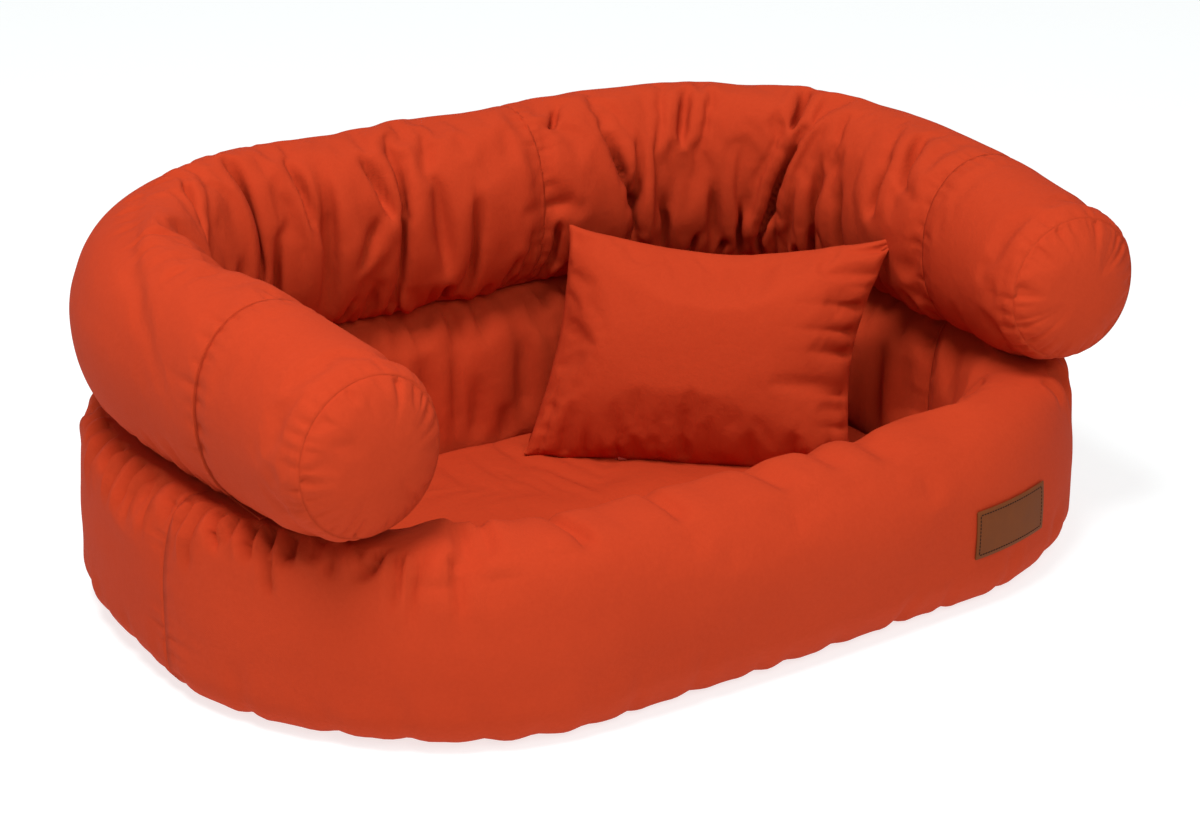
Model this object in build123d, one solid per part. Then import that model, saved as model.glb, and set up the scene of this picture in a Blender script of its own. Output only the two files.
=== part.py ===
from build123d import *
from math import asin, atan2, cos, pi, radians, sin, sqrt
import os

# Armchair dog bed. A stuffed wall goes round a lying well, a stuffed roll on top of it makes
# the back and the arms, and a seat cushion and a rectangular pillow lie loose in the well.
# Millimetres, +Z up, the front towards -Y, the origin on the floor under the bed's middle.

# Cloth and sewing
wall_cloth = 4.0              # woven face with its bonded wadding
cushion_cloth = 2.5
seam_draw = 2.5               # how far a seam pulls a stuffed tube in
seam_reach = 28.0             # how far along the tube the pull is seen
soft_gap = 0.3                # between stuffed pieces that lie on each other

# Wall round the well
bed_length = 1000.0
bed_depth = 700.0
wall_thickness = 130.0
wall_height = 182.0           # its top, above the floor
wall_side_radius = 240.0      # the bulge of its upright faces
wall_foot_radius = 30.0
wall_seam = 67.0              # in front of the bed's middle, where the front bend starts
wall_side_length = 115.0      # the straight stretch behind the seam
wall_belly_share = 0.48

# Base
base_thickness = 2.0
base_inset = 24.0             # the wall rolls under by this much

# Roll for the back and the arms
roll_lift = 4.0               # above the wall, the thickness of the joining tape
arm_radius = 81.0
arm_front = 256.0             # from the bed's middle to the end discs
arm_seam = 103.0
arm_toe_in = 33.0
side_growth_share = 0.7       # of the change from arm to back, made before the bend
back_half_height = 95.0
back_half_thickness = 72.0
roll_bend = 225.0
back_seam = 80.0              # right of the bed's middle
disc_dome = 12.0

# Joining tape
tape_width = 20.0
tape_reach = 150.0            # in front of the bed's middle

# Label
label_width = 99.0
label_height = 47.0
label_thickness = 1.6
label_right = 243.0           # its middle, from the bed's middle
label_middle = 89.0           # above the floor
stitch_inset = 3.5
stitch_width = 0.8
stitch_height = 0.4

# Seat cushion
cushion_gap = 10.0            # round its edge, inside the wall
cushion_height = 38.0
cushion_foot = 10.0           # height of its rolled lower edge
cushion_band = 16.0           # height of its upright edge
cushion_foot_inset = 12.0
cushion_shoulder = 4.0        # below its crown
cushion_shoulder_share = 0.28   # of its front corners' radius, where the crown's slopes end
cushion_crown_share = 0.66

# Pillow
pillow_width = 332.0
pillow_height = 245.0
pillow_thickness = 92.0
pillow_top_hollow = 16.0      # how far an edge draws in between its corners
pillow_side_hollow = 14.0
pillow_foot_hollow = 10.0
pillow_from_arm = 248.0       # from the right arm's and the back's centre lines to its middle
pillow_from_back = 228.0
pillow_turn = -44.0
pillow_lean = 22.0
# depth through the pillow, size of the outline there and how hollow its edges are
pillow_level_shares = [
    (1.00, 0.36, -0.9),
    (0.94, 0.56, -0.9),
    (0.80, 0.72, -0.7),
    (0.56, 0.85, -0.3),
    (0.28, 0.94, 0.3),
    (0.00, 1.00, 1.0),
]

# Zips
zip_tape_thickness = 1.2
zip_tape_inside = 9.0
zip_tape_proud = 2.6
zip_coil_radius = 1.4
zip_clearance = 0.3
zip_slider_length = 10.0
zip_slider_width = 6.6
zip_slider_rise = 5.0
zip_slider_edge = 1.0
zip_stop_length = 2.0
zip_stop_width = 3.6
seat_zip_margin = 8.0         # inside the straight part of the cushion's rear edge
pillow_zip_length = 170.0

# Places that follow from the sizes above
wall_x = bed_length / 2 - wall_thickness / 2
wall_y = bed_depth / 2 - wall_thickness / 2
wall_front_bend = wall_y - wall_seam          # in plan, on the centre line
wall_rear_bend = wall_y + wall_seam - wall_side_length
roll_foot = wall_height + roll_lift
arm_x = bed_length / 2 - arm_radius
back_y = bed_depth / 2 - back_half_thickness
bend_x = arm_x - roll_bend
bend_y = back_y - roll_bend
cushion_edge = wall_thickness / 2 + cushion_gap
cushion_corner = wall_front_bend - cushion_edge
seat_zip_length = 2 * (wall_x - wall_rear_bend - seat_zip_margin)
cushion_top = base_thickness + cushion_height

# How finely the soft forms are faceted
bend_steps = 6
wall_section_steps = [1, 3, 2, 2, 8, 2, 2, 3]   # flat foot, rolled foot, side, side, top and back down
roll_section_steps = [6, 6, 6, 6]
pillow_outline_steps = [8, 6, 8, 6]
dome_shares = [1.0, 0.85, 0.6, 0.3]
bend_shares = [step / bend_steps for step in range(1, bend_steps + 1)]
flat_within = 0.0000001


def section_plane(x, y, heading, z=0.0):
    """The plane across a tube: its X points left of the heading and its Y points up."""
    turn = radians(heading)
    return Plane(origin=(x, y, z), x_dir=(-sin(turn), cos(turn), 0), z_dir=(cos(turn), sin(turn), 0))


def mirrored(point):
    return (-point[0], point[1])


def corners_along(outline, steps):
    """Corners spread evenly over each stretch of an outline."""
    return [
        stretch @ (step / count)
        for stretch, count in zip(outline, steps)
        for step in range(count)
    ]


def panel(a, b, c, d):
    """The face between four corners, folded along a diagonal unless they lie in a plane."""
    normal = (b - a).cross(c - a).normalized()
    if abs(normal.dot(d - a)) < flat_within:
        return [Face(Wire.make_polygon([a, b, c, d]))]
    return [Face(Wire.make_polygon([a, b, c])), Face(Wire.make_polygon([a, c, d]))]


def skin(outlines):
    """The solid whose surface runs flat from each outline's corners to those of the next."""
    faces = [Face(Wire.make_polygon(outline)) for outline in (outlines[0], outlines[-1])]
    for near, far in zip(outlines, outlines[1:]):
        for i in range(len(near)):
            faces += panel(near[i - 1], near[i], far[i], far[i - 1])
    return Solid(Shell(faces))


def wall_section(station, inset=0.0):
    """Upright faces with a slight bulge, a round top, and a foot that rolls under to a flat."""
    x, y, heading, pull = station
    half = wall_thickness / 2 - inset - pull * seam_draw
    foot = base_thickness + inset
    top = wall_height - inset - pull * seam_draw
    belly = foot + wall_belly_share * (top - foot)
    side, rolled = wall_side_radius, wall_foot_radius
    side_x = half - side
    above = top - belly
    crown = (side ** 2 - side_x ** 2 - above ** 2) / (2 * (side - above))
    shoulder_turn = (-side_x / (side - crown), (above - crown) / (side - crown))
    shoulder = (side_x + side * shoulder_turn[0], belly + side * shoulder_turn[1])
    drop = (foot + rolled - belly) / (side - rolled)
    across = sqrt(1 - drop ** 2)
    ankle = (side_x + side * across, belly + side * drop)
    toe = (side_x + (side - rolled) * across, foot)
    halfway = Vector(across, drop - 1).normalized() * rolled
    heel = (toe[0] + halfway.X, foot + rolled + halfway.Y)
    low = (side_x + side * cos(asin(drop) / 2), belly + side * sin(asin(drop) / 2))
    rise = atan2(shoulder_turn[1], shoulder_turn[0]) / 2
    high = (side_x + side * cos(rise), belly + side * sin(rise))
    outline = [
        Line(mirrored(toe), toe),
        ThreePointArc(toe, heel, ankle),
        ThreePointArc(ankle, low, (half, belly)),
        ThreePointArc((half, belly), high, shoulder),
        ThreePointArc(shoulder, (0, top), mirrored(shoulder)),
        ThreePointArc(mirrored(shoulder), mirrored(high), (-half, belly)),
        ThreePointArc((-half, belly), mirrored(low), mirrored(ankle)),
        ThreePointArc(mirrored(ankle), mirrored(heel), mirrored(toe)),
    ]
    plane = section_plane(x, y, heading)
    return [plane.from_local_coords(corner) for corner in corners_along(outline, wall_section_steps)]


def roll_section(station, inset=0.0):
    """An oval of four arcs that run smoothly into each other, resting at the roll's foot."""
    x, y, heading, pull, thick, tall = station
    w = thick - inset - pull * seam_draw
    h = tall - inset - pull * seam_draw
    c = sqrt(1 / 2)
    side = (w * (1 - c) - h * c) / (1 - 2 * c)
    corner_x = w - side + side * c
    corner_y = side * c
    outline = [
        ThreePointArc((corner_x, -corner_y), (w, 0), (corner_x, corner_y)),
        ThreePointArc((corner_x, corner_y), (0, h), (-corner_x, corner_y)),
        ThreePointArc((-corner_x, corner_y), (-w, 0), (-corner_x, -corner_y)),
        ThreePointArc((-corner_x, -corner_y), (0, -h), (corner_x, -corner_y)),
    ]
    plane = section_plane(x, y, heading, roll_foot + tall)
    return [plane.from_local_coords(corner) for corner in corners_along(outline, roll_section_steps)]


def bend(centre_x, centre_y, radius, start, shares):
    """Places and headings round a quarter bend that turns to the left."""
    angles = [start + share * 90 for share in shares]
    return [
        (centre_x + radius * cos(radians(a)), centre_y + radius * sin(radians(a)), a + 90)
        for a in angles
    ]


def front_wall_route():
    """Places along the tube, each with its heading and with how far a seam draws it in."""
    drawn = seam_reach / wall_front_bend * 2 / pi
    x, y, radius = wall_x - wall_front_bend, -wall_seam, wall_front_bend
    left = bend(-x, y, radius, 180, [0, drawn] + bend_shares)
    right = bend(x, y, radius, 270, [0] + bend_shares[:-1] + [1 - drawn, 1])
    places = left + right
    pulls = [1] + [0] * (len(places) - 2) + [1]
    return [(*place, pull) for place, pull in zip(places, pulls)]


def rear_wall_route():
    x, y, radius = wall_x - wall_rear_bend, wall_y - wall_rear_bend, wall_rear_bend
    turning = bend(x, y, radius, 0, [0] + bend_shares) + bend(-x, y, radius, 90, [0] + bend_shares)
    right_side = [(wall_x, -wall_seam, 90, 1), (wall_x, seam_reach - wall_seam, 90, 0)]
    left_side = [(-wall_x, seam_reach - wall_seam, 270, 0), (-wall_x, -wall_seam, 270, 1)]
    return right_side + [(*place, 0) for place in turning] + left_side


def arm_place(behind):
    """Where the right arm's centre line is, so far behind the bed's middle."""
    slant = arm_toe_in / (arm_front + bend_y)
    heading = 90 - Vector(0, 1).get_angle(Vector(slant, 1))
    return arm_x - slant * (bend_y - behind), behind, heading


def arm_station(behind, pull):
    return (*arm_place(behind), pull, arm_radius, arm_radius)


def grown(place, share):
    """A station where the roll has so much of its change from the arm's size to the back's."""
    thick = arm_radius + share * (back_half_thickness - arm_radius)
    tall = arm_radius + share * (back_half_height - arm_radius)
    return (*place, 0, thick, tall)


def arm_route():
    front = [arm_station(-arm_front, 1), arm_station(seam_reach - arm_front, 0)]
    return front + [arm_station(-arm_seam - seam_reach, 0), arm_station(-arm_seam, 1)]


def roll_bend_stations():
    """Round the bend to the straight back, with the last of the roll's growth on the way."""
    shares = [0] + bend_shares
    return [
        grown(place, side_growth_share + (1 - side_growth_share) * share)
        for place, share in zip(bend(bend_x, bend_y, roll_bend, 0, shares), shares)
    ]


def back_station(x, pull):
    return (x, back_y, 180, pull, back_half_thickness, back_half_height)


def right_back_route():
    arm = [arm_station(-arm_seam, 1), arm_station(seam_reach - arm_seam, 0)]
    back = [back_station(back_seam + seam_reach, 0), back_station(back_seam, 1)]
    return arm + roll_bend_stations() + back


def left_back_route():
    back = [back_station(back_seam, 1), back_station(back_seam - seam_reach, 0)]
    side = right_back_route()[-3::-1]
    return back + [(-x, y, 360 - heading, *rest) for x, y, heading, *rest in side]


def tube(route, section):
    return skin([section(station) for station in route])


def lining(route, section, inset):
    """The inside of a tube, which is not drawn in at the seams."""
    relaxed = [(x, y, heading, 0, *sizes) for x, y, heading, pull, *sizes in route]
    return skin([section(station, inset) for station in relaxed])


def tube_cover(route, section):
    return tube(route, section) - lining(route, section, wall_cloth)


def tube_filling(route, section):
    return lining(route, section, wall_cloth + soft_gap)


def plan_outline(outset, z=0.0):
    """The wall's centre line in plan, moved outwards and lifted, as corners."""
    front, rear = wall_front_bend, wall_rear_bend
    ends = [0] + bend_shares
    places = bend(wall_x - front, -wall_seam, front + outset, 270, ends)
    places += bend(wall_x - rear, wall_y - rear, rear + outset, 0, ends)
    places += bend(rear - wall_x, wall_y - rear, rear + outset, 90, ends)
    places += bend(front - wall_x, -wall_seam, front + outset, 180, ends)
    return [Vector(x, y, z) for x, y, heading in places]


def plan_face(outset):
    return Face(Wire.make_polygon(plan_outline(outset)))


def base_panel():
    return extrude(plan_face(wall_thickness / 2 - base_inset), base_thickness)


def arm_end_plane():
    """On the right arm's front end, with its normal pointing out of the arm."""
    x, y, heading = arm_place(-arm_front)
    return section_plane(x, y, heading + 180, roll_foot + arm_radius)


def dome(inset):
    """A shallow dome that closes the arm's front end."""
    radius = arm_radius - seam_draw - inset
    rise = disc_dome - inset
    sphere = (radius ** 2 + rise ** 2) / (2 * rise)
    end = arm_end_plane()
    steps = sum(roll_section_steps)
    outlines = []
    for share in dome_shares:
        level = rise - sphere + sqrt(sphere ** 2 - (share * radius) ** 2)
        turns = [2 * pi * step / steps for step in range(steps)]
        corners = [Vector(share * radius * cos(t), share * radius * sin(t), level) for t in turns]
        outlines.append([end.from_local_coords(corner) for corner in corners])
    return skin(outlines)


def arm_cover():
    return tube_cover(arm_route(), roll_section)


def end_disc():
    return dome(0) - dome(wall_cloth)


def arm_filling():
    return tube_filling(arm_route(), roll_section) + dome(wall_cloth + soft_gap)


def joining_tape():
    """A flat strip along the wall's ridge, under the arms and the back."""
    x = (wall_x + arm_x) / 2
    y = (wall_y + back_y) / 2
    thickness = roll_lift - 2 * soft_gap
    start = section_plane(x, -tape_reach, 90, wall_height + roll_lift / 2)
    corner = (wall_rear_bend + roll_bend) / 2
    c = sqrt(1 / 2)
    near = corner * (1 - c)
    path = Plane.XY.offset(wall_height + roll_lift / 2) * Wire([
        Line((x, -tape_reach), (x, y - corner)),
        ThreePointArc((x, y - corner), (x - near, y - near), (x - corner, y)),
        Line((x - corner, y), (corner - x, y)),
        ThreePointArc((corner - x, y), (near - x, y - near), (-x, y - corner)),
        Line((-x, y - corner), (-x, -tape_reach)),
    ])
    return sweep(start * Rectangle(tape_width, thickness), path)


def on_front_face(width, height, thickness, rise):
    """A plate that follows the wall's front face in plan, centred where the label is."""
    inner = wall_thickness / 2 + soft_gap + rise
    band = plan_face(inner + thickness) - plan_face(inner)
    window = Pos(label_right, -bed_depth / 2) * Rectangle(width, wall_thickness)
    return extrude(Pos(0, 0, label_middle - height / 2) * (band & window), height)


def label_patch():
    return on_front_face(label_width, label_height, label_thickness, 0)


def label_stitching():
    outer_width, outer_height = label_width - 2 * stitch_inset, label_height - 2 * stitch_inset
    outer = on_front_face(outer_width, outer_height, stitch_height, label_thickness)
    inner = on_front_face(
        outer_width - 2 * stitch_width, outer_height - 2 * stitch_width, stitch_height, label_thickness
    )
    return outer - inner


def cushion_body(inset=0.0):
    """A flat foot, an upright edge, and a crown in two slopes."""
    edge = -cushion_edge - inset
    low = base_thickness + cushion_foot
    levels = [
        (edge - cushion_foot_inset, base_thickness + inset),
        (edge, low),
        (edge, low + cushion_band - inset),
        (edge - cushion_shoulder_share * cushion_corner, cushion_top - cushion_shoulder - inset),
        (edge - cushion_crown_share * cushion_corner, cushion_top - inset),
    ]
    return skin([plan_outline(outset, z) for outset, z in levels])


def pillow_outline(size, hollow, depth, inset):
    """Four edges that curve in or out between pointed corners."""
    x, y = pillow_width / 2 * size - inset, pillow_height / 2 * size - inset
    top, side, foot = (
        hollow * edge for edge in (pillow_top_hollow, pillow_side_hollow, pillow_foot_hollow)
    )
    outline = [
        ThreePointArc((-x, -y), (0, foot - y), (x, -y)),
        ThreePointArc((x, -y), (x - side, 0), (x, y)),
        ThreePointArc((x, y), (0, y - top), (-x, y)),
        ThreePointArc((-x, y), (side - x, 0), (-x, -y)),
    ]
    return [corner + Vector(0, 0, depth) for corner in corners_along(outline, pillow_outline_steps)]


def pillow_body(inset=0.0):
    """Lying flat: X across, Y from its foot to its top, Z through it."""
    half = pillow_thickness / 2 - inset
    behind = [(-depth, size, hollow) for depth, size, hollow in pillow_level_shares]
    levels = behind + pillow_level_shares[-2::-1]
    rim = [inset * (1 + (depth == 0)) for depth, size, hollow in levels]
    outlines = [
        pillow_outline(size, hollow, depth * half, edge)
        for (depth, size, hollow), edge in zip(levels, rim)
    ]
    return skin(outlines)


def pillow_place():
    """Leaning in the rear right corner of the well, on its two lower corners."""
    turn, lean = radians(pillow_turn), radians(pillow_lean)
    across = Vector(cos(turn), sin(turn), 0)
    up = Vector(-sin(turn) * sin(lean), cos(turn) * sin(lean), cos(lean))
    height = cushion_top + soft_gap + pillow_height / 2 * cos(lean)
    middle = (arm_x - pillow_from_arm, back_y - pillow_from_back, height)
    return Plane(middle, x_dir=across, z_dir=across.cross(up))


def zip_tape(length):
    """Along X, with its edge out of the cloth towards +Z."""
    height = zip_tape_inside + zip_tape_proud
    middle = (zip_tape_proud - zip_tape_inside) / 2
    return Pos(0, 0, middle) * Box(length, zip_tape_thickness, height)


def zip_slot(length):
    height = zip_tape_inside + zip_tape_proud + 2 * zip_clearance
    middle = (zip_tape_proud - zip_tape_inside) / 2
    gap = 2 * zip_clearance
    return Pos(0, 0, middle) * Box(length + gap, zip_tape_thickness + gap, height)


def zip_coil(length):
    """The closed coil as one ridge, with a stop at each end."""
    ridge = Rot(0, 90, 0) * Cylinder(zip_coil_radius, length)
    stop = Box(zip_stop_length, zip_stop_width, zip_stop_width)
    reach = (length - zip_stop_length) / 2
    coil = ridge + Pos(reach, 0, 0) * stop + Pos(-reach, 0, 0) * stop
    return Pos(0, 0, zip_tape_proud) * coil - zip_tape(length)


def zip_slider(length):
    """A block that straddles the coil, at the closed end. It has no pull that a dog could chew."""
    block = Box(zip_slider_length, zip_slider_width, zip_slider_rise)
    block = chamfer(block.edges(), zip_slider_edge)
    channel = Rot(0, 90, 0) * Cylinder(zip_coil_radius + zip_clearance, 2 * zip_slider_length)
    slot = zip_slot(length)
    start = zip_stop_length + zip_clearance + zip_slider_length / 2 - length / 2
    low = zip_clearance + zip_slider_rise / 2
    return Pos(start, 0, low) * block - Pos(start, 0, zip_tape_proud) * channel - slot


def seat_zip_place():
    """In the middle of the seat cushion's rear edge, pointing out to the rear."""
    middle = base_thickness + cushion_foot + cushion_band / 2
    return Plane((0, wall_y - cushion_edge, middle), x_dir=(1, 0, 0), z_dir=(0, 1, 0))


def pillow_zip_place():
    """In the pillow's foot edge, pointing down out of the pillow as it stands."""
    depth = pillow_height / 2 - pillow_foot_hollow * (1 - (pillow_zip_length / pillow_width) ** 2)
    local = Plane((0, -depth, 0), x_dir=(1, 0, 0), z_dir=(0, -1, 0))
    return pillow_place() * local.location


def seat_cushion():
    slot = seat_zip_place() * zip_slot(seat_zip_length)
    outer, inner, filling = cushion_body(), cushion_body(cushion_cloth), cushion_body(cushion_cloth + soft_gap)
    return {
        "seat_cushion_cover": outer - inner - slot,
        "seat_cushion_filling": filling - slot,
        "seat_zip_tape": seat_zip_place() * zip_tape(seat_zip_length),
        "seat_zip_coil": seat_zip_place() * zip_coil(seat_zip_length),
        "seat_zip_slider": seat_zip_place() * zip_slider(seat_zip_length),
    }


def pillow():
    place, zip_place = pillow_place(), pillow_zip_place()
    slot = zip_place * zip_slot(pillow_zip_length)
    outer, inner = place * pillow_body(), place * pillow_body(cushion_cloth)
    return {
        "pillow_cover": outer - inner - slot,
        "pillow_filling": place * pillow_body(cushion_cloth + soft_gap) - slot,
        "pillow_zip_tape": zip_place * zip_tape(pillow_zip_length),
        "pillow_zip_coil": zip_place * zip_coil(pillow_zip_length),
        "pillow_zip_slider": zip_place * zip_slider(pillow_zip_length),
    }


def bed():
    right = {"arm_cover": arm_cover(), "end_disc": end_disc(), "arm_filling": arm_filling()}
    pieces = {
        "base_panel": base_panel(),
        "front_wall_cover": tube_cover(front_wall_route(), wall_section),
        "front_wall_filling": tube_filling(front_wall_route(), wall_section),
        "rear_wall_cover": tube_cover(rear_wall_route(), wall_section),
        "rear_wall_filling": tube_filling(rear_wall_route(), wall_section),
        "roll_joining_tape": joining_tape(),
        "right_back_cover": tube_cover(right_back_route(), roll_section),
        "right_back_filling": tube_filling(right_back_route(), roll_section),
        "left_back_cover": tube_cover(left_back_route(), roll_section),
        "left_back_filling": tube_filling(left_back_route(), roll_section),
        "label_patch": label_patch(),
        "label_stitching": label_stitching(),
    }
    for name, piece in right.items():
        pieces["right_" + name] = piece
        pieces["left_" + name] = mirror(piece, about=Plane.YZ)
    return pieces


os.makedirs("parts", exist_ok=True)
for name, piece in {**bed(), **seat_cushion(), **pillow()}.items():
    solid = piece.solid() if len(piece.solids()) == 1 else Compound(piece.solids())
    export_step(solid, f"parts/{name}.step")
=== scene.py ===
from math import atan2, cos, hypot, pi, radians, sin

import bpy
import numpy as np
from mathutils import Matrix, Vector


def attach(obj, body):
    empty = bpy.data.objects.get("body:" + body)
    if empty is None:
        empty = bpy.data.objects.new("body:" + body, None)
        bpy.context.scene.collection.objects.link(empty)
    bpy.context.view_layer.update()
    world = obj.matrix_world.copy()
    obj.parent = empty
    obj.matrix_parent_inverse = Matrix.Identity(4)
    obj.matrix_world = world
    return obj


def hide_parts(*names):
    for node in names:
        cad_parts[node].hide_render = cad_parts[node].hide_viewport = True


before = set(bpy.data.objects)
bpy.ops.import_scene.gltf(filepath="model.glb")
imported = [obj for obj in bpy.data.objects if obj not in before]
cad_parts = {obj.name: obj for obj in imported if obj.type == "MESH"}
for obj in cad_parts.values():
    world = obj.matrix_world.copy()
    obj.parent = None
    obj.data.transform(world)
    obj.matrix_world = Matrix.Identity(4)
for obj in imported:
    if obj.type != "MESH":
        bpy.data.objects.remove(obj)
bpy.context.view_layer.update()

# Room and camera. The bed stands on white paper, lit from below so that it stays white, and is
# seen from its front left corner, a little from above. A round light hangs over its left front,
# a weaker and broader one stands in front, and the white room adds soft light from all round.
aim = Vector((0, 0, 0.171))
view_turn, view_height, view_distance = radians(33.42), radians(20.94), 2.6218
lens_length = 80.45
picture_width, picture_height = 1200, 813
centre_x, centre_y = 592.6, 380.5


def added(primitive, name, **settings):
    """Adds one thing with nothing else selected, and names it."""
    bpy.ops.object.select_all(action="DESELECT")
    primitive(**settings)
    new = bpy.context.object
    new.name = name
    return new


def looking(way):
    """The turn of a camera or a light that looks this way."""
    return way.to_track_quat("-Z", "Y").to_euler()


away = Vector((
    -sin(view_turn) * cos(view_height), -cos(view_turn) * cos(view_height), sin(view_height),
))
camera = added(bpy.ops.object.camera_add, "camera", location=aim + away * view_distance)
camera.rotation_euler = looking(-away)
camera.data.lens = lens_length
camera.data.shift_x = (picture_width / 2 - centre_x) / picture_width
camera.data.shift_y = (centre_y - picture_height / 2) / picture_width
bpy.context.scene.camera = camera
bpy.context.scene.view_settings.view_transform = "Standard"

floor = added(
    bpy.ops.mesh.primitive_plane_add, "paper_floor", size=12, location=(0, 0, -0.0005)
)


def area_light(name, place, size, power):
    """A round light that looks at the bed."""
    light = added(bpy.ops.object.light_add, name, type="AREA", location=place)
    light.rotation_euler = looking(aim - Vector(place))
    light.data.shape = "DISK"
    light.data.size = size
    light.data.energy = power


area_light("window_light", (-1.1, -0.6, 3.1), 1.2, 84)
area_light("front_fill", (-0.5, -2.5, 2.5), 1.8, 32)

world = bpy.data.worlds.new("white_room")
bpy.context.scene.world = world
world.use_nodes = True
background = world.node_tree.nodes["Background"]
background.inputs["Color"].default_value = (1, 1, 1, 1)
background.inputs["Strength"].default_value = 0.36


class Socket:
    """A shader socket that sums, differences and products can be written with."""

    def __init__(self, material, link):
        self.material, self.link = material, link

    def _maths(self, operation, *values, swapped=False):
        values = [self, *values]
        if swapped:
            values.reverse()
        return self.material.node(
            "ShaderNodeMath", {"operation": operation}, dict(enumerate(values))
        )

    def __add__(self, other):
        return self._maths("ADD", other)

    def __radd__(self, other):
        return self._maths("ADD", other, swapped=True)

    def __sub__(self, other):
        return self._maths("SUBTRACT", other)

    def __rsub__(self, other):
        return self._maths("SUBTRACT", other, swapped=True)

    def __mul__(self, other):
        return self._maths("MULTIPLY", other)

    def __rmul__(self, other):
        return self._maths("MULTIPLY", other, swapped=True)

    def sine(self):
        return self._maths("SINE")


class Finish:
    """A material whose nodes are added one by one, and its principled shader."""

    def __init__(self, name, colour, roughness, **constants):
        self.data = bpy.data.materials.new(name)
        self.data.use_nodes = True
        self.data.diffuse_color = (*colour, 1)
        self.tree = self.data.node_tree
        self.shader = self.tree.nodes["Principled BSDF"]
        self.shader.inputs["Base Color"].default_value = (*colour, 1)
        self.shader.inputs["Roughness"].default_value = roughness
        for socket, value in constants.items():
            self.shader.inputs[socket.replace("_", " ")].default_value = value

    def node(self, kind, settings=None, inputs=None, output=0):
        """One more node, with its settings made first and its sockets filled after."""
        new = self.tree.nodes.new(kind)
        for setting, value in (settings or {}).items():
            setattr(new, setting, value)
        for socket, value in (inputs or {}).items():
            if isinstance(value, Socket):
                self.tree.links.new(value.link, new.inputs[socket])
            else:
                new.inputs[socket].default_value = value
        return Socket(self, new.outputs[output])

    def feed(self, socket, value):
        self.tree.links.new(value.link, self.shader.inputs[socket])

    def place(self, kind="Object"):
        return self.node("ShaderNodeTexCoord", output=kind)

    def x_and_y(self, kind="Object"):
        """A place in metres. On cloth, of the kind UV, that is across it and along it."""
        split = self.node("ShaderNodeSeparateXYZ", None, {0: self.place(kind)})
        return split, Socket(self, split.link.node.outputs["Y"])

    def noise(self, at, scale, detail=2.0, roughness=0.5):
        return self.node(
            "ShaderNodeTexNoise", None,
            {"Vector": at, "Scale": scale, "Detail": detail, "Roughness": roughness},
        )

    def colours(self, share, first, second):
        return self.node(
            "ShaderNodeMix", {"data_type": "RGBA"},
            {"Factor": share, "A": (*first, 1), "B": (*second, 1)}, output="Result",
        )

    def bump(self, height, distance, strength=1.0, under=None):
        inputs = {"Height": height, "Distance": distance, "Strength": strength}
        if under is not None:
            inputs["Normal"] = under
        return self.node("ShaderNodeBump", None, inputs)


def paper_finish():
    finish = Finish("white_paper", (0.36, 0.40, 0.40), 0.9, Emission_Strength=0.74)
    grain = finish.noise(finish.place(), 60.0)
    finish.feed("Base Color", finish.colours(grain, (0.35, 0.39, 0.39), (0.37, 0.41, 0.41)))
    finish.feed("Emission Color", finish.colours(grain, (0.98, 0.98, 0.98), (1, 1, 1)))
    return finish.data


floor.data.materials.append(paper_finish())


def refinish(node, material):
    """Gives a CAD node a better finish in place of its own."""
    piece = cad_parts[node]
    for place in piece.material_slots:
        place.link = "OBJECT"
        place.material = material


# Wall round the well. Two tubes of canvas, one for the front and one for the rear, are sewn
# together at the sides and stuffed with fibre. The cloth is cut nearly straight, so that what
# the inside of a bend doesn't need gathers there in upright folds.
wall_thickness, wall_height, wall_foot = 0.130, 0.182, 0.001
pressed_height, pressed_swell = 0.1838, 0.009
foot_rise, foot_tuck, corner_tuck, inner_tuck = 0.036, 0.027, 0.013, 0.008
wall_x, wall_seam, rear_side = 0.435, -0.067, 0.115
front_bend, rear_bend = 0.218, 0.237
wall_step = 0.0068
quarter = pi / 2


def smooth_share(value):
    value = np.clip(value, 0, 1)
    return value * value * (3 - 2 * value)


def place_on(start, heading, stretches, distance):
    """Point and heading at a distance along stretches, each a length with its turn."""
    x, y = start
    for length, turn in stretches:
        run = min(distance, length)
        if turn:
            radius = length / turn
            swung = run / radius
            x += radius * (sin(heading + swung) - sin(heading))
            y -= radius * (cos(heading + swung) - cos(heading))
            heading += swung
        else:
            x += run * cos(heading)
            y += run * sin(heading)
        distance -= run
        if distance <= 0:
            break
    return x, y, heading


def sharpen_selected():
    """Keeps the selected edges, which are seams, sharp when the piece is smoothed."""
    bpy.ops.object.mode_set(mode="EDIT")
    bpy.ops.transform.edge_crease(value=1)
    bpy.ops.mesh.select_all(action="DESELECT")
    bpy.ops.object.mode_set(mode="OBJECT")


def read(items, field, width=3, kind=float):
    """One field of a mesh's points, corners or faces, a row for each."""
    flat = np.empty(len(items) * width, kind)
    items.foreach_get(field, flat)
    return flat if width == 1 else flat.reshape(-1, width)


class Stuffed:
    """A closed skin of cloth, whose points are moved as one table."""

    def points(self):
        return read(self.piece.data.vertices, "co")

    def set_points(self, points):
        self.piece.data.vertices.foreach_set("co", np.asarray(points, float).ravel())
        self.piece.data.update()

    def fit(self, shape):
        """Takes a shape as the one that the cloth is cut to."""
        self.start_shape = shape
        self.set_points(shape)

    def corners(self):
        """The number of the point at each corner of the faces."""
        return read(self.piece.data.loops, "vertex_index", 1, int)

    def map_cloth(self, places):
        """Keeps each face corner's place on the cloth, in metres, as the piece's UV map."""
        self.piece.data.uv_layers.active.data.foreach_set("uv", places.ravel())


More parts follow.
